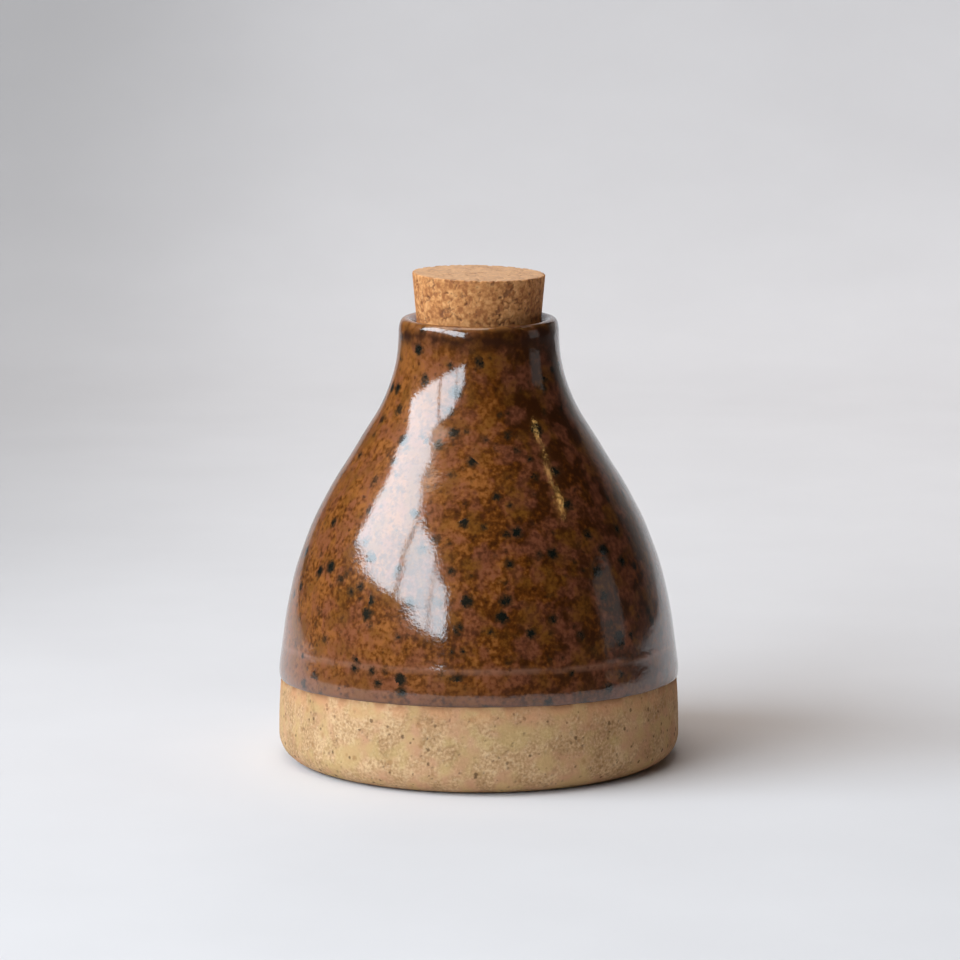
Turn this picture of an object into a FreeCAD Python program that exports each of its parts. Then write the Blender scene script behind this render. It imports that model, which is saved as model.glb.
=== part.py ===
"""A stoneware cruet: a thrown bottle, glazed inside and out down to a bare foot, with a tapered cork.

Millimetres, +Z up. The origin is the centre of the foot, on the surface that the bottle stands on, and
the front of the bottle faces -Y. Every piece is a solid of revolution about Z, apart from the lower edge
of the outer glaze, which leans a little, as the bottle was dipped by hand.
"""

import FreeCAD, Part

import math
import os

# The outside of the clay, from the foot up, is one chain of tangent arcs and straight runs.
FOOT_RADIUS = 50.0
FOOT_ROUND = 6.0  # radius of the lower edge
FLANK_ARC = 188.0
FLANK_TURN = 9.35  # degrees that the wall leans inwards by the end of this arc
BELLY_ARC = 91.0
BELLY_TURN = 22.4
SHOULDER_RUN = 18.2  # length of the straight cone between belly and neck
NECK_ARC = 40.5  # hollow curve that brings the wall upright again
LIP_HEIGHT = 109.65
LIP_OUTER_ROUND = 1.3
LIP_INNER_ROUND = 2.4

# Thicknesses. The lip's two rounds meet at its crest, so together they are the wall.
WALL = LIP_OUTER_ROUND + LIP_INNER_ROUND
GLAZE = 0.35
FLOOR_HEIGHT = 7.5  # top of the clay floor inside
FLOOR_CORNER = 9.0  # radius between that floor and the wall

# The underside is turned hollow, so that the bottle stands on a ring.
HOLLOW_DEPTH = 1.5
HOLLOW_RADIUS = 33.0
HOLLOW_SLOPE = 45.0  # degrees

# Lower edge of the outer glaze.
GLAZE_LINE = 20.1  # height on the axis
GLAZE_LEAN = 2.25  # degrees, with the front higher

# Cork.
CORK_TOP = 121.4
CORK_LENGTH = 28.0
CORK_TOP_RADIUS = 16.5
CORK_BOTTOM_RADIUS = 14.1
CORK_CHAMFER = 0.4


class Pen:
    """Draws a chain of edges in the XZ plane. Its heading is in degrees: 0 is +X and 90 is +Z."""

    def __init__(self, x, z, heading):
        self.x = x
        self.z = z
        self.heading = heading
        self.edges = []

    def point(self):
        return FreeCAD.Vector(self.x, 0, self.z)

    def turn(self, degrees):
        self.heading += degrees

    def line(self, length):
        start = self.point()
        self.x += length * math.cos(math.radians(self.heading))
        self.z += length * math.sin(math.radians(self.heading))
        self.edges.append(Part.LineSegment(start, self.point()).toShape())

    def arc(self, radius, degrees):
        """A tangent arc, turning left if degrees is positive and right if it is negative."""
        start = self.point()
        to_centre = math.radians(self.heading + math.copysign(90, degrees))
        centre_x = self.x + radius * math.cos(to_centre)
        centre_z = self.z + radius * math.sin(to_centre)
        points = []
        for share in (0.5, 1.0):
            from_centre = to_centre + math.pi + math.radians(degrees * share)
            self.x = centre_x + radius * math.cos(from_centre)
            self.z = centre_z + radius * math.sin(from_centre)
            points.append(self.point())
        self.heading += degrees
        self.edges.append(Part.Arc(start, points[0], points[1]).toShape())


def outer_line(coat):
    """From the foot's rounded edge, up the outside, over the lip and down to the foot of the throat.

    The line is that of the clay with a coat of this thickness on it.
    """
    pen = Pen(FOOT_RADIUS + coat, FOOT_ROUND, 90)
    pen.arc(FLANK_ARC + coat, FLANK_TURN)
    pen.arc(BELLY_ARC + coat, BELLY_TURN)
    pen.line(SHOULDER_RUN)
    pen.arc(NECK_ARC - coat, -FLANK_TURN - BELLY_TURN)
    throat_foot = pen.z
    pen.line(LIP_HEIGHT - LIP_OUTER_ROUND - pen.z)
    pen.arc(LIP_OUTER_ROUND + coat, 90)
    pen.arc(LIP_INNER_ROUND + coat, 90)
    pen.line(pen.z - throat_foot)
    return pen


def inner_line(coat):
    """From the foot of the throat, down the inside, parallel to the outer wall, to the floor's centre."""
    throat = outer_line(coat)
    pen = Pen(throat.x, throat.z, 270)
    pen.arc(NECK_ARC + WALL + coat, FLANK_TURN + BELLY_TURN)
    pen.line(SHOULDER_RUN)
    pen.arc(BELLY_ARC - WALL - coat, -BELLY_TURN)
    corner_rise = FLOOR_HEIGHT + FLOOR_CORNER - FOOT_ROUND
    corner_reach = FLANK_ARC - WALL - FLOOR_CORNER
    lean = math.degrees(math.asin(corner_rise / corner_reach))
    pen.arc(FLANK_ARC - WALL - coat, lean - FLANK_TURN)
    pen.arc(FLOOR_CORNER - coat, -90 - lean)
    pen.line(pen.x)
    return pen


def foot_line():
    """From the axis, out across the hollow underside and the standing ring, to the foot's rounded edge."""
    pen = Pen(0, HOLLOW_DEPTH, 0)
    pen.line(HOLLOW_RADIUS)
    pen.turn(-HOLLOW_SLOPE)
    pen.line(HOLLOW_DEPTH / math.sin(math.radians(HOLLOW_SLOPE)))
    pen.turn(HOLLOW_SLOPE)
    pen.line(FOOT_RADIUS - FOOT_ROUND - pen.x)
    pen.arc(FOOT_ROUND, 90)
    return pen


def join(start, end):
    return Part.LineSegment(start, end).toShape()


def revolve(edges):
    """The solid swept by a closed outline in the XZ plane, once round Z."""
    outline = Part.Wire(Part.__sortEdges__(edges))
    solid = Part.Face(outline).revolve(FreeCAD.Vector(0, 0, 0), FreeCAD.Vector(0, 0, 1), 360)
    assert solid.isValid() and solid.isClosed()
    return solid


def stoneware_body():
    foot = foot_line()
    inside = inner_line(0)
    axis = join(inside.point(), FreeCAD.Vector(0, 0, HOLLOW_DEPTH))
    return revolve(foot.edges + outer_line(0).edges + inside.edges + [axis])


def below_glaze_line():
    """A block that fills everything below the leaning edge of the outer glaze."""
    side = 4 * FOOT_RADIUS
    corner = FreeCAD.Vector(-side / 2, -side / 2, GLAZE_LINE - side)
    block = Part.makeBox(side, side, side, corner)
    block.rotate(FreeCAD.Vector(0, 0, GLAZE_LINE), FreeCAD.Vector(1, 0, 0), -GLAZE_LEAN)
    return block


def outer_glaze():
    """The coat on the outside, which wraps over the lip into the throat."""
    clay = outer_line(0)
    coat = outer_line(GLAZE)
    lower_edge = join(clay.edges[0].Vertexes[0].Point, coat.edges[0].Vertexes[0].Point)
    upper_edge = join(clay.point(), coat.point())
    skin = revolve(clay.edges + coat.edges + [lower_edge, upper_edge])
    return skin.cut(below_glaze_line())


def liner_glaze():
    """The coat on the inside, from the foot of the throat down over the floor."""
    clay = inner_line(0)
    coat = inner_line(GLAZE)
    upper_edge = join(clay.edges[0].Vertexes[0].Point, coat.edges[0].Vertexes[0].Point)
    axis = join(clay.point(), coat.point())
    return revolve(clay.edges + coat.edges + [upper_edge, axis])


def cork_stopper():
    cork_bottom = CORK_TOP - CORK_LENGTH
    outline = [
        (0, cork_bottom),
        (CORK_BOTTOM_RADIUS - CORK_CHAMFER, cork_bottom),
        (CORK_BOTTOM_RADIUS, cork_bottom + CORK_CHAMFER),
        (CORK_TOP_RADIUS, CORK_TOP - CORK_CHAMFER),
        (CORK_TOP_RADIUS - CORK_CHAMFER, CORK_TOP),
        (0, CORK_TOP),
    ]
    corners = [FreeCAD.Vector(x, 0, z) for x, z in outline]
    return revolve([join(a, b) for a, b in zip(corners, corners[1:] + corners[:1])])


def main():
    os.makedirs("parts", exist_ok=True)
    for make in (stoneware_body, outer_glaze, liner_glaze, cork_stopper):
        make().exportStep(f"parts/{make.__name__}.step")


main()
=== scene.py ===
"""The looks of a stoneware cruet: speckled brown glaze over bare clay, with a stopper of cork granules.

Metres, +Z up, and the front of the bottle faces -Y. Each piece is a section turned round Z on a fine
grid, and each point of the grid is then moved along its normal by the relief of its material.
"""

import math

import bpy
import numpy as np
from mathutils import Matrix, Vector, noise


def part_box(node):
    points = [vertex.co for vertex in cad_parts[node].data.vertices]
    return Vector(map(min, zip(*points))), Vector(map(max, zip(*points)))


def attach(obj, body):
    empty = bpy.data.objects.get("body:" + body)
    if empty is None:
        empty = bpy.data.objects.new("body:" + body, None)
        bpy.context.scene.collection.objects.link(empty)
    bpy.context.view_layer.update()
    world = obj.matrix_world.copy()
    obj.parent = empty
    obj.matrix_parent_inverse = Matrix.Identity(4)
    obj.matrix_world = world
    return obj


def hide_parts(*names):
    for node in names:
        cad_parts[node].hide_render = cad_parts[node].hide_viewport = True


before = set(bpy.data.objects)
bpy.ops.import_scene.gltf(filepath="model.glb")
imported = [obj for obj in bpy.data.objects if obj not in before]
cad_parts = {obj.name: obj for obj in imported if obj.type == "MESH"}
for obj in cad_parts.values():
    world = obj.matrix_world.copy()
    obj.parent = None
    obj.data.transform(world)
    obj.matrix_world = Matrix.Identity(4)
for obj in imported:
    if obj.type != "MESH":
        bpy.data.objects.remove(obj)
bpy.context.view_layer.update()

MM = 0.001

_, clay_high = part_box("stoneware_body")
cork_low, cork_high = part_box("cork_stopper")

# Section of the clay, as in the CAD model.
FOOT_RADIUS = clay_high[0]
FOOT_ROUND = 6.0 * MM
FLANK_ARC = 188.0 * MM
FLANK_TURN = 9.35
BELLY_ARC = 91.0 * MM
BELLY_TURN = 22.4
SHOULDER_RUN = 18.2 * MM
NECK_ARC = 40.5 * MM
LIP_HEIGHT = clay_high[2]
LIP_OUTER_ROUND = 1.3 * MM
LIP_INNER_ROUND = 2.4 * MM
WALL = LIP_OUTER_ROUND + LIP_INNER_ROUND
FLOOR_HEIGHT = 7.5 * MM
FLOOR_CORNER = 9.0 * MM
HOLLOW_DEPTH = 1.5 * MM
HOLLOW_RADIUS = 33.0 * MM
HOLLOW_SLOPE = 45.0

# Glaze.
GLAZE = 0.35 * MM
GLAZE_LINE = 20.1 * MM
GLAZE_LEAN = 2.25  # degrees
ROLL = 3.4 * MM  # how far the thick lower edge takes to round off
RING_RISE = 8.6 * MM  # height of the faint ring above that edge
THICK_EDGE = 0.16 * MM  # extra glaze that has run down to the lower edge
RUN_DOWN = 7.0 * MM  # how far up that extra glaze reaches
WORN_CORNER = 0.26 * MM  # glaze missing from the lip's outer corner
RIPPLE_PITCH = 12.5 * MM  # one ring of the potter's fingers to the next
RIPPLE_DEPTH = 0.030 * MM
LINER_PITCH = 6.5 * MM
LINER_DEPTH = 0.14 * MM

# Cork.
CORK_BOTTOM_RADIUS = 14.1 * MM
CORK_EDGE = 0.4 * MM
CORK_ROLL = 1.3  # degrees that the cork's top leans down to the right

# Paper sweep and room, in metres.
PAPER_FRONT = -0.42
PAPER_BEND = 0.60
PAPER_CURVE = 0.55
PAPER_TOP = 1.7
PAPER_LEFT = -0.46
PAPER_RIGHT = 0.6
ROOM = 6.0

# Lights.
SIDE_DISTANCE = 1.2
DAYLIGHT = (0.82, 0.97, 1.09)
WARM_WHITE = (1.0, 0.95, 0.90)
AMBER = (1.0, 0.58, 0.18)

# The camera stands in front, higher than the bottle, and looks down on it.
CAMERA_PLACE = (0.0003, -1.1817, 0.2658)
CAMERA_DIP = 9.446  # degrees
CAMERA_LENS = 180.9
SENSOR = 36.0


def smooth_step(low, high, value):
    share = np.clip((value - low) / (high - low), 0, 1)
    return share * share * (3 - 2 * share)


def bump_at(value, centre, width):
    return np.exp(-(((value - centre) / width) ** 2))


def wander(points, size, seed):
    """Smooth noise from -1 to 1 at each point, with features of about this size."""
    shift = Vector((seed * 7.3, seed * 3.1, seed * 5.7))
    flat = points.reshape(-1, 3) / size
    values = [noise.noise(Vector(p) + shift) for p in flat.tolist()]
    return np.array(values).reshape(points.shape[:-1])


def cells(points, size, seed):
    """Distance from each point to the nearest cell's centre, and to the next one, and the cell's number.

    Distances are in cells, and the number is from 0 to 1.
    """
    shift = Vector((seed * 4.9, seed * 8.3, seed * 2.7))
    found = []
    for p in (points.reshape(-1, 3) / size).tolist():
        distances, centres = noise.voronoi(Vector(p) + shift)
        number = 0.5 + 0.5 * noise.cell(centres[0] * 13.7)
        found.append((distances[0], distances[1], number))
    found = np.array(found)
    return [found[:, k].reshape(points.shape[:-1]) for k in range(3)]


class Outline:
    """A section's edge in the (radius, height) plane: a chain of lines and arcs, run anticlockwise.

    The heading is in degrees: 0 points away from the axis and 90 points up.
    """

    ARC_STEP = 0.5  # degrees

    def __init__(self, radius, height, heading):
        self.radius = radius
        self.height = height
        self.heading = heading
        self.length = 0.0
        self.notes = []
        self.marks = {}

    def note(self):
        outwards = math.radians(self.heading - 90)
        self.notes.append((self.length, self.radius, self.height, math.cos(outwards), math.sin(outwards)))

    def mark(self, name):
        self.marks[name] = self.length

    def move(self, distance):
        self.radius += distance * math.cos(math.radians(self.heading))
        self.height += distance * math.sin(math.radians(self.heading))
        self.length += distance

    def line(self, distance):
        self.note()
        self.move(distance)
        self.note()

    def arc(self, radius, degrees):
        steps = math.ceil(abs(degrees) / self.ARC_STEP)
        turn = degrees / steps
        chord = 2 * radius * math.sin(math.radians(abs(turn) / 2))
        self.note()
        for _ in range(steps):
            self.heading += turn / 2
            self.move(chord)
            self.heading += turn / 2
            self.note()

    def look_up(self, lengths):
        """Radius, height and the normal's two parts at each length along the outline."""
        notes = np.array(self.notes)
        return [np.interp(lengths, notes[:, 0], notes[:, k]) for k in range(1, 5)]

    def length_at(self, heights, start, end):
        """Length along the outline at each height, between two marks where the outline climbs."""
        notes = np.array(self.notes)
        climb = notes[(notes[:, 0] >= self.marks[start]) & (notes[:, 0] <= self.marks[end])]
        return np.interp(heights, climb[:, 2], climb[:, 0])

    def turned(self, lengths, angles, offset=0.0):
        """Points of the surface turned from the outline, each moved by its offset along the normal."""
        radius, height, normal_out, normal_up = self.look_up(lengths)
        radius = radius + normal_out * offset
        height = height + normal_up * offset
        radius, height, angles = np.broadcast_arrays(radius, height, angles)
        return np.stack([radius * np.cos(angles), radius * np.sin(angles), height], axis=-1)


def clay_outline():
    """The clay's whole section, from under the foot, over the lip, to the middle of the floor inside."""
    edge = Outline(0, HOLLOW_DEPTH, 0)
    edge.line(HOLLOW_RADIUS)
    edge.heading -= HOLLOW_SLOPE
    edge.line(HOLLOW_DEPTH / math.sin(math.radians(HOLLOW_SLOPE)))
    edge.heading += HOLLOW_SLOPE
    edge.line(FOOT_RADIUS - FOOT_ROUND - edge.radius)
    edge.mark("ring")
    edge.arc(FOOT_ROUND, 90)
    edge.mark("flank")
    edge.arc(FLANK_ARC, FLANK_TURN)
    edge.arc(BELLY_ARC, BELLY_TURN)
    edge.line(SHOULDER_RUN)
    edge.arc(NECK_ARC, -FLANK_TURN - BELLY_TURN)
    throat_foot = edge.height
    edge.line(LIP_HEIGHT - LIP_OUTER_ROUND - edge.height)
    edge.arc(LIP_OUTER_ROUND, 90)
    edge.mark("crest")
    edge.arc(LIP_INNER_ROUND, 90)
    edge.line(edge.height - throat_foot)
    edge.mark("throat")
    edge.arc(NECK_ARC + WALL, FLANK_TURN + BELLY_TURN)
    edge.line(SHOULDER_RUN)
    edge.arc(BELLY_ARC - WALL, -BELLY_TURN)
    corner_rise = FLOOR_HEIGHT + FLOOR_CORNER - FOOT_ROUND
    lean = math.degrees(math.asin(corner_rise / (FLANK_ARC - WALL - FLOOR_CORNER)))
    edge.arc(FLANK_ARC - WALL, lean - FLANK_TURN)
    edge.arc(FLOOR_CORNER, -90 - lean)
    edge.line(edge.radius)
    edge.mark("centre")
    return edge


def cork_outline():
    """The cork's section, from the middle of its bottom to the middle of its top."""
    height = cork_high[2] - cork_low[2]
    taper = math.atan((cork_high[0] - CORK_BOTTOM_RADIUS) / height)
    edge = Outline(0, cork_low[2], 0)
    edge.line(CORK_BOTTOM_RADIUS - CORK_EDGE)
    edge.arc(CORK_EDGE, 90 - math.degrees(taper))
    edge.mark("side")
    top_round = CORK_EDGE * (1 + math.sin(taper))
    edge.line((cork_high[2] - top_round - edge.height) / math.cos(taper))
    edge.mark("top")
    edge.arc(CORK_EDGE, 90 + math.degrees(taper))
    edge.mark("rim")
    edge.line(edge.radius)
    edge.mark("centre")
    return edge


def around(count):
    """Angles of one ring, as a row."""
    return np.linspace(0, 2 * math.pi, count, endpoint=False)[None, :]


def spread(*stops):
    """Lengths of successive rings, as a column.

    Each stop is a place and the number of even steps that lead to it from the stop before.
    """
    places = [stops[0][0]]
    for (start, _), (end, count) in zip(stops, stops[1:]):
        places.extend(np.linspace(start, end, count + 1)[1:])
    return np.array(places)[:, None]


def ring_mesh(name, rings, poles=()):
    """A closed mesh from rings of points.

    Two poles close its ends. With no poles, the last ring meets the first.
    """
    rows, columns = rings.shape[:2]
    index = np.arange(rows * columns).reshape(rows, columns)
    beside = np.roll(index, -1, axis=1)
    if poles:
        quads = np.stack([index[:-1], beside[:-1], beside[1:], index[1:]], axis=-1)
        first, last = rows * columns, rows * columns + 1
        fans = [(first, b, a) for a, b in zip(index[0].tolist(), beside[0].tolist())]
        fans += [(a, b, last) for a, b in zip(index[-1].tolist(), beside[-1].tolist())]
    else:
        above = np.roll(index, -1, axis=0)
        quads = np.stack([index, beside, np.roll(beside, -1, axis=0), above], axis=-1)
        fans = []
    mesh = bpy.data.meshes.new(name)
    vertices = rings.reshape(-1, 3).tolist() + [tuple(p) for p in poles]
    mesh.from_pydata(vertices, [], quads.reshape(-1, 4).tolist() + fans)
    mesh.shade_smooth()
    return mesh


def add_piece(mesh, material, body, node, slot, **attributes):
    """Puts a mesh in the scene in place of a CAD node. Attributes are one number for each ring point."""
    for name, values in attributes.items():
        layer = mesh.attributes.new(name, "FLOAT", "POINT")
        padded = np.zeros(len(mesh.vertices), dtype=np.float32)
        padded[: values.size] = values.ravel()
        layer.data.foreach_set("value", padded)
    mesh.materials.append(material)
    piece = bpy.data.objects.new(mesh.name, mesh)
    bpy.context.scene.collection.objects.link(piece)
    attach(piece, body)
    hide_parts(node)
    return piece


def glaze_edge(angles):
    """Height of the outer glaze's wavy lower edge at each angle. The edge leans up at the front."""
    circle = np.stack([np.cos(angles), np.sin(angles), np.zeros_like(angles)], axis=-1)
    lean = -FOOT_RADIUS * np.sin(angles) * math.tan(math.radians(GLAZE_LEAN))
    long_waves = 0.30 * MM * wander(circle, 0.6, 1)
    short_waves = 0.10 * MM * wander(circle, 0.10, 2)
    return GLAZE_LINE + lean + long_waves + short_waves


def clay_piece(clay, material):
    """The bare foot band has pits and grit; the rest, under the glaze, is plain."""
    angles = around(800)
    marks = clay.marks
    glazed = clay.length_at(GLAZE_LINE + 3.5 * MM, "flank", "crest")
    lengths = spread(
        (0.6 * MM, 0),
        (HOLLOW_RADIUS, 10),
        (marks["ring"], 10),
        (marks["flank"], 22),
        (glazed, 46),
        (marks["crest"], 12),
        (marks["throat"], 4),
        (marks["centre"] - 0.6 * MM, 14),
    )
    smooth = clay.turned(lengths, angles)
    outside = smooth_step(HOLLOW_RADIUS, marks["ring"], lengths) * (lengths < glazed)
    bare = outside * np.ones_like(angles)
    fine = lengths[:, 0] <= glazed
    relief = np.zeros(bare.shape)
    pits = np.zeros(bare.shape)
    grit = np.zeros(bare.shape)
    band = smooth[fine]
    near, _, number = cells(band, 1.7 * MM, 3)
    pit = (number > 0.55) * smooth_step(0.14 + 0.16 * number, 0.02, near)
    grain_near, _, grain_number = cells(band, 0.9 * MM, 5)
    grain = (grain_number > 0.5) * smooth_step(0.55, 0.1, grain_near)
    turning = np.sin(band[..., 2] / (0.9 * MM) * 2 * math.pi + 3 * wander(band, 9 * MM, 6))
    relief[fine] = (
        -0.10 * MM
        + 0.035 * MM * wander(band, 7 * MM, 7)
        + 0.030 * MM * wander(band, 0.8 * MM, 8)
        + 0.035 * MM * grain
        + 0.006 * MM * turning
        - 0.22 * MM * pit
    )
    pits[fine] = pit
    grit[fine] = grain * grain_number
    rings = clay.turned(lengths, angles, np.minimum(relief, 0) * bare)
    rings[..., 2] = np.maximum(rings[..., 2], 0)
    below_glaze = glaze_edge(angles) - rings[..., 2]
    flash = np.exp(-((np.maximum(below_glaze, 0) / (3.8 * MM)) ** 2)) * bare
    seam = np.exp(-((np.maximum(below_glaze, 0) / (1.1 * MM)) ** 2)) * bare
    poles = [(0, 0, HOLLOW_DEPTH), (0, 0, FLOOR_HEIGHT)]
    mesh = ring_mesh("bare_stoneware", rings, poles)
    return add_piece(
        mesh,
        material,
        "bottle",
        "stoneware_body",
        "bare_clay",
        pits=pits,
        grit=grit,
        flash=flash,
        seam=seam,
    )


def outer_glaze_piece(clay, material):
    """The outer coat: rolled lower edge, a faint ring above it, soft ripples, and the lip."""
    angles = around(480)
    marks = clay.marks
    edge = clay.length_at(glaze_edge(angles), "flank", "crest")
    crest_rise = marks["crest"] - clay.length_at(GLAZE_LINE, "flank", "crest")
    full_rise = crest_rise + marks["throat"] - marks["crest"]
    roll = ROLL * np.linspace(0, 1, 15)[:, None] ** 2
    rises = np.concatenate([roll, spread((ROLL, 0), (crest_rise - 2.5 * MM, 132), (full_rise, 24))[1:]])
    share = rises / full_rise
    lengths = edge + share * (marks["throat"] - edge)
    smooth = clay.turned(lengths, angles, GLAZE)
    rise = lengths - edge
    uneven_roll = ROLL * (1 + 0.22 * wander(smooth, 5 * MM, 17))
    rounding = np.sqrt(1 - (1 - np.minimum(rise / uneven_roll, 1)) ** 2)
    ring_height = RING_RISE + 0.5 * MM * wander(smooth, 25 * MM, 11)
    ring = bump_at(rise, ring_height, 0.65 * MM)
    on_wall = smooth_step(0, ROLL, rise) * (1 - smooth_step(crest_rise - 5 * MM, crest_rise, rises))
    worn_corner = bump_at(lengths, marks["crest"] - 1.6 * MM, 1.05 * MM)
    ripple = np.sin(rise / RIPPLE_PITCH * 2 * math.pi + 1.5 * wander(smooth, 30 * MM, 15))
    thickness = rounding * (
        GLAZE
        - WORN_CORNER * worn_corner
        + THICK_EDGE * np.exp(-((rise / RUN_DOWN) ** 2))
        + 0.030 * MM * ring * (1 + wander(smooth, 6 * MM, 14))
        + 0.032 * MM * worn_corner * wander(smooth, 2.6 * MM, 18)
        + on_wall * RIPPLE_DEPTH * ripple
        + on_wall * 0.020 * MM * wander(smooth, 14 * MM, 12)
        + on_wall * 0.013 * MM * wander(smooth, 3.5 * MM, 13)
    )
    front = clay.turned(lengths, angles, thickness)
    back_share = np.linspace(1, 0, 26)[:-1, None]
    back = clay.turned(edge + back_share * (marks["throat"] - edge), angles)
    rings = np.concatenate([front, back])
    # The crest line is the glaze thinning on the edge, with painted light that makes it brighter towards
    # the left, where the light falls.
    lip = bump_at(lengths, marks["crest"] - 0.5 * MM, 0.8 * MM) * (0.65 - 0.35 * np.cos(angles))
    under_lip = bump_at(lengths, marks["crest"] - 3.9 * MM, 2.2 * MM)
    right = np.cos(angles)
    # Painted light: positive on the left, where the window light falls, and negative on the right, with
    # some random variation mixed in.
    kiln = -right - 0.6 * smooth_step(0.05, 0.45, right) + 0.4 * wander(smooth, 40 * MM, 16)
    fringe = np.exp(-rise / (0.35 * MM))
    low = np.exp(-((rise / (5.5 * MM)) ** 2)) * (0.7 - 0.3 * np.cos(angles))
    neck = smooth_step(0.45, 0.9, share) * np.ones_like(angles)
    mesh = ring_mesh("speckled_glaze_coat", rings)
    return add_piece(
        mesh,
        material,
        "bottle",
        "outer_glaze",
        "speckled_glaze",
        lip=lip,
        under_lip=under_lip,
        fringe=fringe,
        low=low,
        ring=ring,
        neck=neck,
        kiln=kiln,
    )


def liner_piece(clay, material):
    """The inner coat, which shows the throwing rings of the wall under it."""
    angles = around(256)
    marks = clay.marks
    back = spread((marks["centre"] - 0.8 * MM, 0), (marks["throat"], 24))
    front = spread((marks["throat"], 0), (marks["centre"] - 0.8 * MM, 190))
    smooth = clay.turned(front, angles, GLAZE)
    spiral = np.sin(front / LINER_PITCH * 2 * math.pi + angles)
    fade = smooth_step(0, 6 * MM, front - marks["throat"])
    thickness = GLAZE + fade * (LINER_DEPTH * spiral + 0.06 * MM * wander(smooth, 9 * MM, 21))
    rings = np.concatenate([clay.turned(back, angles), clay.turned(front, angles, thickness)])
    poles = [(0, 0, FLOOR_HEIGHT), (0, 0, FLOOR_HEIGHT + GLAZE)]
    mesh = ring_mesh("liner_glaze_coat", rings, poles)
    return add_piece(mesh, material, "bottle", "liner_glaze", "liner_glaze")


def cork_piece(material):
    """Glued granules: each a little proud or low, with open joints, pits and a crumbly top edge."""
    cork = cork_outline()
    angles = around(440)
    marks = cork.marks
    lengths = spread(
        (0.5 * MM, 0),
        (marks["side"], 42),
        (marks["top"], 88),
        (marks["rim"], 6),
        (marks["centre"] - 0.5 * MM, 62),
    )
    smooth = cork.turned(lengths, angles)
    bent = smooth + 0.45 * MM * np.stack([wander(smooth, 0.9 * MM, k) for k in (31, 32, 33)], axis=-1)
    near, beyond, tone = cells(bent, 1.9 * MM, 34)
    joint = smooth_step(0.12, 0.04, beyond - near) * smooth_step(0.05, 0.25, wander(smooth, 2.8 * MM, 36))
    pit_near, _, pit_number = cells(bent * np.array([0.7, 0.7, 1.5]), 1.7 * MM, 37)
    pit = (pit_number > 0.72) * smooth_step(0.30, 0.12, pit_near)
    sanded_top = smooth_step(marks["top"], marks["rim"] + 0.5 * MM, lengths) * np.ones_like(angles)
    at_edge = bump_at(lengths, (marks["top"] + marks["rim"]) / 2, 0.9 * MM)
    crumbs = at_edge * smooth_step(-0.1, 0.6, wander(smooth, 1.3 * MM, 38))
    relief = -(1 - 0.55 * sanded_top) * (
        0.03 * MM * tone
        + 0.17 * MM * joint
        + 0.42 * MM * pit
        + 0.05 * MM * (1 + wander(smooth, 0.6 * MM, 39)) / 2
    )
    relief = relief - 0.30 * MM * crumbs
    rings = cork.turned(lengths, angles, relief)
    lip_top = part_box("outer_glaze")[1][2]
    above_lip = smooth_step(lip_top, cork_high[2], rings[..., 2])
    lean = math.tan(math.radians(CORK_ROLL))
    rings[..., 2] -= above_lip * lean * (rings[..., 0] + cork_high[0])
    # Dark glue joints, plus painted shade in the pits and the crumbled top edge.
    crevice = np.clip(0.75 * joint + pit + 0.35 * crumbs, 0, 1) * (1 - 0.35 * sanded_top)
    mesh = ring_mesh("granule_cork", rings, [(0, 0, cork_low[2]), (0, 0, rings[-1, 0, 2])])
    return add_piece(
        mesh,
        material,
        "stopper",
        "cork_stopper",
        "cork",
        tone=tone,
        crevice=crevice,
        sanded=sanded_top,
    )


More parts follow.
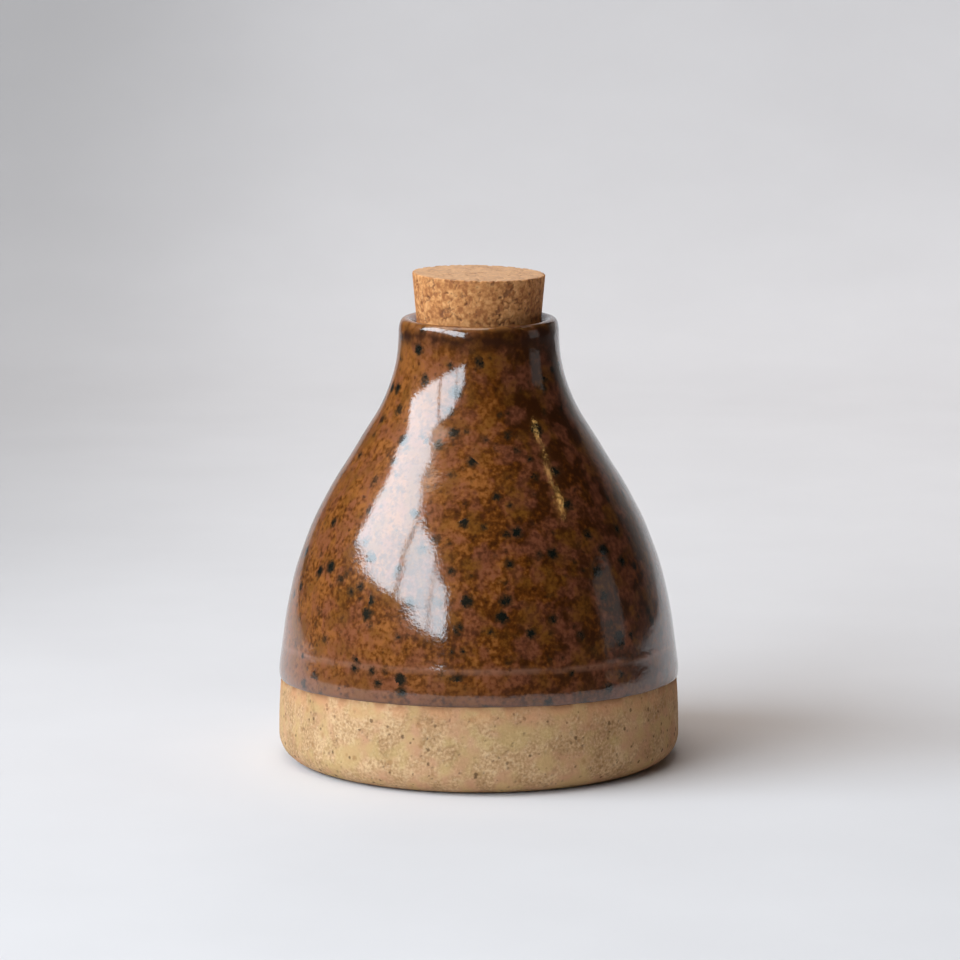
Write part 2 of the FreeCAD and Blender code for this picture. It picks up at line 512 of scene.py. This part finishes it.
class Paint:
    """A procedural material: a Principled shader, and the texture nodes that feed it."""

    def __init__(self, name, **settings):
        self.material = bpy.data.materials.new(name)
        self.material.use_nodes = True
        self.nodes = self.material.node_tree.nodes
        self.shader = self.nodes["Principled BSDF"]
        self.place = self.nodes.new("ShaderNodeTexCoord").outputs["Object"]
        for socket, value in settings.items():
            self.shader.inputs[socket.replace("_", " ")].default_value = value

    def feed(self, value, socket):
        """Links a varying value to a socket, or sets a plain one on it."""
        if isinstance(value, bpy.types.NodeSocket):
            self.material.node_tree.links.new(value, socket)
        else:
            socket.default_value = value

    def colour(self, value):
        self.feed(value, self.shader.inputs["Base Color"])

    def roughness(self, value):
        self.feed(value, self.shader.inputs["Roughness"])

    def attribute(self, name):
        node = self.nodes.new("ShaderNodeAttribute")
        node.attribute_name = name
        return node.outputs["Fac"]

    def stretched(self, factors):
        node = self.nodes.new("ShaderNodeMapping")
        self.feed(self.place, node.inputs["Vector"])
        node.inputs["Scale"].default_value = factors
        return node.outputs["Vector"]

    def noise(self, size, detail, place=None):
        node = self.nodes.new("ShaderNodeTexNoise")
        self.feed(place or self.place, node.inputs["Vector"])
        node.inputs["Scale"].default_value = 1 / size
        node.inputs["Detail"].default_value = detail
        return node.outputs["Fac"]

    def calculate(self, operation, first, second):
        node = self.nodes.new("ShaderNodeMath")
        node.operation = operation
        self.feed(first, node.inputs[0])
        self.feed(second, node.inputs[1])
        return node.outputs[0]

    def times(self, first, second):
        return self.calculate("MULTIPLY", first, second)

    def plus(self, first, second):
        return self.calculate("ADD", first, second)

    def spread_out(self, value, low, high, to_low=0.0, to_high=1.0):
        """Maps low..high to another range, and stays within it."""
        node = self.nodes.new("ShaderNodeMapRange")
        self.feed(value, node.inputs["Value"])
        ends = {"From Min": low, "From Max": high, "To Min": to_low, "To Max": to_high}
        for socket, number in ends.items():
            node.inputs[socket].default_value = number
        return node.outputs["Result"]

    def eased(self, value, low, high):
        """From 0 to 1 between two values, in a smooth curve."""
        result = self.spread_out(value, low, high)
        result.node.interpolation_type = "SMOOTHSTEP"
        return result

    def along(self, axis):
        node = self.nodes.new("ShaderNodeSeparateXYZ")
        self.feed(self.place, node.inputs["Vector"])
        return node.outputs[axis]

    def ramp(self, value, *stops):
        node = self.nodes.new("ShaderNodeValToRGB")
        self.feed(value, node.inputs["Fac"])
        elements = node.color_ramp.elements
        while len(elements) < len(stops):
            elements.new(0.5)
        for element, (position, colour) in zip(elements, stops):
            element.position = position
            element.color = (*colour, 1)
        return node.outputs["Color"]

    def mix(self, factor, first, second):
        node = self.nodes.new("ShaderNodeMix")
        node.data_type = "RGBA"
        colours = [socket for socket in node.inputs if socket.type == "RGBA"]
        self.feed(factor, node.inputs["Factor"])
        for value, socket in ((first, colours[0]), (second, colours[1])):
            self.feed((*value, 1) if isinstance(value, tuple) else value, socket)
        return next(socket for socket in node.outputs if socket.type == "RGBA")

    def over(self, under, mask, colour, share=1.0):
        """Lays a colour over another where the mask is, at a share of its full strength."""
        if share < 1:
            mask = self.times(mask, share)
        return self.mix(mask, under, colour)

    def shaken(self, size, reach):
        """The place, pushed about by noise, so that spots get ragged edges."""
        node = self.nodes.new("ShaderNodeTexNoise")
        self.feed(self.place, node.inputs["Vector"])
        node.inputs["Scale"].default_value = 1 / size
        add = self.nodes.new("ShaderNodeVectorMath")
        add.operation = "MULTIPLY_ADD"
        self.feed(node.outputs["Color"], add.inputs[0])
        add.inputs[1].default_value = (reach, reach, reach)
        self.feed(self.place, add.inputs[2])
        return add.outputs["Vector"]

    def spots(self, size, share, small, large, soft, place, ragged=0.0):
        """Scattered spots: one in a share of the cells, with a radius from small to large, in cells.

        A ragged outline wanders by this many cells.
        """
        node = self.nodes.new("ShaderNodeTexVoronoi")
        self.feed(place, node.inputs["Vector"])
        node.inputs["Scale"].default_value = 1 / size
        parts = self.nodes.new("ShaderNodeSeparateColor")
        self.feed(node.outputs["Color"], parts.inputs["Color"])
        chosen = self.calculate("GREATER_THAN", parts.outputs["Red"], 1 - share)
        radius = self.spread_out(parts.outputs["Green"], 0, 1, small, large)
        radius = self.times(chosen, radius)
        inside = self.calculate("SUBTRACT", radius, node.outputs["Distance"])
        if ragged:
            bites = self.spread_out(self.noise(0.22 * size, 3.0), 0.3, 0.7, -ragged, ragged)
            inside = self.plus(inside, bites)
        return self.spread_out(inside, 0, soft)

    def bump(self, *layers):
        """Stacks fine relief: (height, depth in metres) pairs."""
        normal = None
        for height, depth in layers:
            node = self.nodes.new("ShaderNodeBump")
            node.inputs["Distance"].default_value = depth
            self.feed(height, node.inputs["Height"])
            if normal:
                self.feed(normal, node.inputs["Normal"])
            normal = node.outputs["Normal"]
        self.feed(normal, self.shader.inputs["Normal"])
        return normal


def glaze_tone(paint, blotch):
    """Mottling and blotches, drawn down into streaks at the neck, with painted light that makes the glaze
    paler towards the left and darker towards the right.
    """
    neck = paint.attribute("neck")
    kiln = paint.attribute("kiln")
    mottle = paint.noise(9 * MM, 5.0)
    streak = paint.noise(1.1 * MM, 4.0, paint.stretched((1, 1, 0.16)))
    fine = paint.mix(paint.times(neck, 0.3), blotch, streak)
    tone = paint.plus(paint.times(mottle, 0.35), paint.times(fine, 0.65))
    # Painted light: the glaze is made paler on the left and darker on the right, more so at the neck.
    tone = paint.plus(tone, paint.times(kiln, 0.095))
    return paint.plus(tone, paint.times(paint.times(neck, kiln), 0.045))


def between_blotches(paint, mask, blotch, low, high):
    """Thins a mask to a low share between the blotches and a high one on them."""
    return paint.times(mask, paint.spread_out(blotch, 0.38, 0.62, low, high))


def glaze_clouds(paint, colour, blotch):
    """Rosy clouds, ochre clouds, and a rosy tint low down."""
    rosy = paint.spread_out(paint.noise(5 * MM, 3.0), 0.46, 0.60)
    rosy = between_blotches(paint, rosy, blotch, 0.25, 0.75)
    colour = paint.over(colour, rosy, (0.208, 0.064, 0.032))
    ochre = paint.noise(6.5 * MM, 3.0, paint.stretched((1.1, 1.1, 1.1)))
    ochre = between_blotches(paint, paint.spread_out(ochre, 0.5, 0.64), blotch, 0.3, 0.8)
    colour = paint.over(colour, ochre, (0.160, 0.058, 0.008))
    low_down = between_blotches(paint, paint.attribute("low"), blotch, 0.2, 0.8)
    return paint.over(colour, low_down, (0.158, 0.053, 0.020))


def glaze_specks(paint, colour):
    """Rust-brown specks and darker freckles."""
    specks = paint.spots(2.3 * MM, 0.40, 0.15, 0.44, 0.30, paint.shaken(0.8 * MM, 0.9 * MM))
    colour = paint.over(colour, specks, (0.060, 0.014, 0.005), 0.5)
    freckles = paint.spots(1.7 * MM, 0.40, 0.12, 0.40, 0.25, paint.shaken(0.7 * MM, 0.8 * MM))
    return paint.over(colour, freckles, (0.028, 0.007, 0.003), 0.6)


def iron_spots(paint, colour):
    """Small iron spots, and large ones in brown halos. Gives the colour, and where the large ones are."""
    shaken = paint.shaken(0.8 * MM, 1.1 * MM)
    small = paint.spots(2.7 * MM, 0.55, 0.0, 0.36, 0.28, shaken, 0.09)
    colour = paint.over(colour, small, (0.016, 0.008, 0.003), 0.85)
    halo = paint.spots(4.1 * MM, 0.9, 0.0, 0.60, 0.32, shaken, 0.09)
    colour = paint.over(colour, halo, (0.036, 0.018, 0.005), 0.75)
    iron = paint.spots(4.1 * MM, 0.9, -0.06, 0.50, 0.27, shaken, 0.09)
    return paint.over(colour, iron, (0.005, 0.007, 0.005)), iron


def glaze_lip(paint, colour, patchy):
    """A dark band under the lip, and a paler, broken line along its crest, where the glaze thins; painted
    light makes that line brighter towards the left.
    """
    under_lip = paint.times(paint.attribute("under_lip"), patchy)
    colour = paint.over(colour, under_lip, (0.030, 0.009, 0.004))
    broken = paint.spread_out(paint.noise(3 * MM, 4.0), 0.42, 0.54, 0.15, 1.0)
    crest = paint.times(paint.attribute("lip"), broken)
    # The crest's pale colour is partly glaze thinning on the edge and partly painted highlight.
    return paint.over(colour, crest, (0.300, 0.122, 0.036))


def speckled_glaze():
    """Glossy rust-brown glaze: mottled, streaked at the neck, and full of iron spots."""
    paint = Paint(
        "speckled_glaze",
        IOR=1.31,
        Specular_Tint=(1.0, 0.45, 0.20, 1),
        Coat_Roughness=0.09,
        Coat_IOR=1.64,
    )
    blotch = paint.noise(1.2 * MM, 4.0)
    patchy = paint.spread_out(paint.noise(4 * MM, 4.0), 0.38, 0.55, 0.35, 1.0)
    colour = paint.ramp(
        glaze_tone(paint, blotch),
        (0.36, (0.038, 0.010, 0.002)),
        (0.45, (0.078, 0.021, 0.003)),
        (0.52, (0.134, 0.038, 0.005)),
        (0.64, (0.275, 0.091, 0.020)),
    )
    colour = glaze_clouds(paint, colour, blotch)
    # Painted highlight: a pale pinkish line along the ridge of the glaze ring.
    ring = paint.times(paint.attribute("ring"), patchy)
    colour = paint.over(colour, ring, (0.290, 0.132, 0.080), 0.6)
    colour = glaze_specks(paint, colour)
    colour, iron = iron_spots(paint, colour)
    colour = glaze_lip(paint, colour, patchy)
    colour = paint.over(colour, paint.attribute("fringe"), (0.050, 0.020, 0.010), 0.8)
    paint.colour(colour)
    paint.roughness(paint.spread_out(blotch, 0.3, 0.7, 0.32, 0.42))
    paint.feed(paint.spread_out(iron, 0, 1, 0.5, 0.35), paint.shader.inputs["Specular IOR Level"])
    normal = paint.bump((paint.noise(0.8 * MM, 3.0), 0.022 * MM), (iron, 0.006 * MM))
    paint.feed(normal, paint.shader.inputs["Coat Normal"])
    grazing = paint.nodes.new("ShaderNodeLayerWeight").outputs["Facing"]
    paint.feed(paint.spread_out(grazing, 0.65, 1.0, 1.0, 0.80), paint.shader.inputs["Coat Weight"])
    return paint.material


def liner_glaze():
    """The same glaze on the inside, plainer and darker."""
    paint = Paint("liner_glaze", IOR=1.55, Coat_Weight=1.0, Coat_Roughness=0.05, Coat_IOR=1.5)
    mottle = paint.noise(6 * MM, 5.0)
    colour = paint.ramp(mottle, (0.38, (0.060, 0.022, 0.008)), (0.62, (0.220, 0.085, 0.026)))
    iron = paint.spots(4.2 * MM, 0.35, 0.06, 0.25, 0.06, paint.shaken(1.0 * MM, 0.6 * MM))
    paint.colour(paint.over(colour, iron, (0.012, 0.014, 0.013)))
    paint.roughness(paint.spread_out(mottle, 0.3, 0.7, 0.2, 0.35))
    paint.bump((paint.noise(0.9 * MM, 2.0), 0.012 * MM))
    return paint.material


def clay_clouds(paint, sand):
    """Buff clay, darker and paler in clouds and grains, with pinkish and yellowish areas."""
    cloud = paint.noise(8 * MM, 4.0)
    colour = paint.ramp(
        paint.plus(paint.times(cloud, 0.45), paint.times(sand, 0.55)),
        (0.36, (0.305, 0.163, 0.068)),
        (0.50, (0.485, 0.282, 0.135)),
        (0.62, (0.65, 0.418, 0.225)),
    )
    colour = paint.over(colour, paint.attribute("grit"), (0.66, 0.48, 0.30), 0.5)
    pinkish = paint.spread_out(paint.noise(7 * MM, 2.0), 0.48, 0.62)
    colour = paint.over(colour, pinkish, (0.545, 0.278, 0.150), 0.75)
    yellowish = paint.noise(8 * MM, 2.0, paint.stretched((1.2, 1.2, 1.2)))
    return paint.over(colour, paint.spread_out(yellowish, 0.48, 0.62), (0.525, 0.355, 0.138), 0.55)


def bare_clay():
    """Dry buff stoneware with dark specks, pale grit and an orange flash under the glaze."""
    paint = Paint("bare_clay", Specular_IOR_Level=0.3)
    sand = paint.noise(0.7 * MM, 4.0)
    colour = clay_clouds(paint, sand)
    rust = paint.spots(2.6 * MM, 0.60, 0.12, 0.42, 0.26, paint.shaken(0.7 * MM, 0.9 * MM))
    colour = paint.over(colour, rust, (0.32, 0.150, 0.050), 0.6)
    specks = paint.spots(1.9 * MM, 0.60, 0.08, 0.34, 0.14, paint.shaken(0.6 * MM, 0.7 * MM))
    colour = paint.over(colour, specks, (0.110, 0.058, 0.024), 0.8)
    # Painted shade: the pits are darkened where shade falls in them.
    colour = paint.over(colour, paint.attribute("pits"), (0.09, 0.05, 0.03), 0.8)
    patches = paint.spread_out(paint.noise(4 * MM, 3.0), 0.40, 0.60, 0.2, 1.0)
    flash = paint.times(paint.attribute("flash"), patches)
    colour = paint.over(colour, flash, (0.58, 0.27, 0.125), 0.85)
    seam = paint.times(paint.attribute("seam"), patches)
    colour = paint.over(colour, seam, (0.26, 0.115, 0.048), 0.8)
    paint.colour(colour)
    paint.roughness(paint.spread_out(sand, 0.3, 0.7, 0.75, 0.95))
    paint.bump((sand, 0.12 * MM))
    return paint.material


def granulated_cork():
    """Granules from pale tan to red brown, with dark joints, and painted shade in the pits and the
    crumbled top edge.
    """
    paint = Paint("granulated_cork")
    flecks = paint.noise(1.1 * MM, 5.0)
    colour = paint.ramp(
        paint.plus(paint.times(paint.attribute("tone"), 0.18), paint.times(flecks, 0.86)),
        (0.37, (0.34, 0.112, 0.028)),
        (0.52, (0.53, 0.212, 0.063)),
        (0.68, (0.70, 0.325, 0.118)),
    )
    bark = paint.spots(2.4 * MM, 0.22, 0.12, 0.34, 0.12, paint.shaken(0.8 * MM, 0.8 * MM))
    colour = paint.over(colour, bark, (0.33, 0.100, 0.034), 0.55)
    specks = paint.spots(0.9 * MM, 0.45, 0.08, 0.34, 0.12, paint.shaken(0.4 * MM, 0.4 * MM))
    colour = paint.over(colour, specks, (0.14, 0.050, 0.016), 0.6)
    colour = paint.over(colour, paint.attribute("sanded"), (0.68, 0.47, 0.30), 0.46)
    # Dark joints, and painted shade in the pits and crumbled edge.
    colour = paint.over(colour, paint.attribute("crevice"), (0.13, 0.040, 0.014), 0.85)
    paint.colour(colour)
    paint.roughness(paint.spread_out(flecks, 0.3, 0.7, 0.8, 0.95))
    paint.bump((flecks, 0.10 * MM))
    return paint.material


def paper():
    """Pale seamless paper, with painted shade that greys it towards the back and the left, where the
    light falls off.
    """
    paint = Paint("backdrop_paper")
    fibres = paint.noise(60 * MM, 3.0)
    colour = paint.ramp(fibres, (0.3, (0.678, 0.650, 0.655)), (0.7, (0.702, 0.674, 0.679)))
    across = paint.along("X")
    back = paint.along("Y")
    # Painted shade: darker towards the back left and towards the back.
    left = paint.times(paint.eased(across, -0.02, -0.20), paint.eased(back, 0.0, 0.35))
    colour = paint.over(colour, left, (0, 0, 0), 0.27)
    colour = paint.over(colour, paint.eased(back, 0.65, 0.98), (0, 0, 0), 0.20)
    paint.colour(colour)
    paint.roughness(0.9)
    return paint.material


def pale_floor():
    """The floor beyond the paper, with enough light of its own to stay pale in the far corners."""
    paint = Paint("pale_floor", Emission_Color=(0.33, 0.33, 0.34, 1), Emission_Strength=1.0)
    clouds = paint.noise(90 * MM, 3.0)
    paint.colour(paint.ramp(clouds, (0.3, (0.36, 0.36, 0.37)), (0.7, (0.39, 0.39, 0.40))))
    paint.roughness(0.9)
    return paint.material


def pale_wall():
    """Painted light: an even pale grey glow of its own over a black base, so no light or shade shows on
    it.
    """
    paint = Paint("pale_wall", Emission_Color=(0.68, 0.68, 0.69, 1), Emission_Strength=1.0)
    paint.colour((0, 0, 0, 1))
    return paint.material


def stage_sheet(name, vertices, faces, material):
    mesh = bpy.data.meshes.new(name)
    mesh.from_pydata(vertices, [], faces)
    mesh.shade_smooth()
    mesh.materials.append(material)
    sheet = bpy.data.objects.new(name, mesh)
    bpy.context.scene.collection.objects.link(sheet)
    return sheet


def only_seen(sheet):
    """Takes a sheet out of reflections and bounced light, as if it were far off in a dark room."""
    sheet.visible_diffuse = False
    sheet.visible_glossy = False
    sheet.visible_shadow = False


def paper_sweep():
    """The paper lies flat from front to bend, and then curves up to its top edge."""
    profile = [(PAPER_FRONT, 0), (PAPER_BEND, 0)]
    steps = 24
    for step in range(1, steps + 1):
        angle = math.radians(90 * step / steps)
        depth = PAPER_BEND + PAPER_CURVE * math.sin(angle)
        profile.append((depth, PAPER_CURVE * (1 - math.cos(angle))))
    profile.append((PAPER_BEND + PAPER_CURVE, PAPER_TOP))
    vertices = [(x, y, z) for y, z in profile for x in (PAPER_LEFT, PAPER_RIGHT)]
    faces = [(2 * k, 2 * k + 1, 2 * k + 3, 2 * k + 2) for k in range(len(profile) - 1)]
    stage_sheet("backdrop", vertices, faces, paper())


def room():
    """A pale floor round the paper, and a pale wall round the floor, for views from other sides."""
    outer = [(-ROOM, -ROOM), (ROOM, -ROOM), (ROOM, ROOM), (-ROOM, ROOM)]
    inner = [
        (PAPER_LEFT, PAPER_FRONT),
        (PAPER_RIGHT, PAPER_FRONT),
        (PAPER_RIGHT, PAPER_BEND),
        (PAPER_LEFT, PAPER_BEND),
    ]
    between_squares = [(k, (k + 1) % 4, 4 + (k + 1) % 4, 4 + k) for k in range(4)]
    vertices = [(x, y, 0) for x, y in outer + inner]
    only_seen(stage_sheet("floor", vertices, between_squares, pale_floor()))
    vertices = [(x, y, z) for z in (0, ROOM) for x, y in outer]
    only_seen(stage_sheet("far_wall", vertices, between_squares, pale_wall()))


def soft_light(name, width, height, radiance, colour=(1, 1, 1)):
    """A rectangular light of even brightness, which faces down until it is turned."""
    light = bpy.data.lights.new(name, "AREA")
    light.shape = "RECTANGLE"
    light.size = width
    light.size_y = height
    light.energy = radiance * math.pi * width * height
    light.color = colour
    lamp = bpy.data.objects.new(name, light)
    lamp.visible_camera = False
    bpy.context.scene.collection.objects.link(lamp)
    return lamp


def side_light(name, side, along, heights, radiance, colour=(1, 1, 1)):
    """An upright light beside the bottle, from one Y to another, facing the axis.

    The side is -1 on the left and 1 on the right.
    """
    lamp = soft_light(name, abs(along[1] - along[0]), heights[1] - heights[0], radiance, colour)
    lamp.location = (side * SIDE_DISTANCE, sum(along) / 2, sum(heights) / 2)
    lamp.rotation_euler = (math.radians(90), 0, math.radians(90 * side))


def window():
    """A tall window on the left, in three panes with bars between them."""
    sill_and_head = (0.50, 1.50)
    side_light("pane_a", -1, (0.14, -0.82), sill_and_head, 8.8, DAYLIGHT)
    side_light("pane_b", -1, (-0.90, -1.96), sill_and_head, 8.7, DAYLIGHT)
    side_light("pane_c", -1, (-2.06, -3.20), sill_and_head, 8.4, DAYLIGHT)


def right_hand_side():
    """A grey card, a pale wall that is brighter further back, and a small warm lamp in two parts."""
    side_light("grey_card", 1, (-0.27, 0.11), (0.04, 0.46), 0.34)
    start, width = 0.85, 0.25
    for step in range(5):
        near = start + width * step
        radiance = 0.085 * (step + 1)
        side_light(f"pale_wall_{step}", 1, (near, near + width), (0.0, 0.60), radiance, WARM_WHITE)
    side_light("warm_lamp_a", 1, (-0.285, -0.215), (1.205, 1.245), 16.0, AMBER)
    side_light("warm_lamp_b", 1, (-0.340, -0.230), (1.025, 1.070), 16.0, AMBER)


def ceiling_light():
    """Soft light from straight above, too steep to be mirrored by the bottle's sides."""
    lamp = soft_light("ceiling", 1.5, 1.5, 2.50, (1.0, 0.915, 0.83))
    lamp.location = (-0.5, -0.1, 1.6)


def backdrop_light():
    """Soft light on the right of the backdrop. It stands behind the bottle and faces away from it."""
    lamp = soft_light("backdrop_wash", 0.4, 0.4, 8.5)
    lamp.location = (0.5, 0.25, 0.9)
    lamp.rotation_euler = (math.radians(70), 0, 0)


def lighting():
    window()
    right_hand_side()
    ceiling_light()
    backdrop_light()
    world = bpy.data.worlds.new("room")
    world.use_nodes = True
    world.node_tree.nodes["Background"].inputs["Color"].default_value = (0.008, 0.008, 0.008, 1)
    bpy.context.scene.world = world


def camera():
    data = bpy.data.cameras.new("camera")
    data.sensor_width = SENSOR
    data.lens = CAMERA_LENS
    holder = bpy.data.objects.new("camera", data)
    holder.location = CAMERA_PLACE
    holder.rotation_euler = (math.radians(90 - CAMERA_DIP), 0, 0)
    bpy.context.scene.collection.objects.link(holder)
    bpy.context.scene.camera = holder
    bpy.context.scene.view_settings.view_transform = "Standard"


def main():
    clay = clay_outline()
    camera()
    lighting()
    paper_sweep()
    room()
    clay_piece(clay, bare_clay())
    outer_glaze_piece(clay, speckled_glaze())
    liner_piece(clay, liner_glaze())
    cork_piece(granulated_cork())


main()
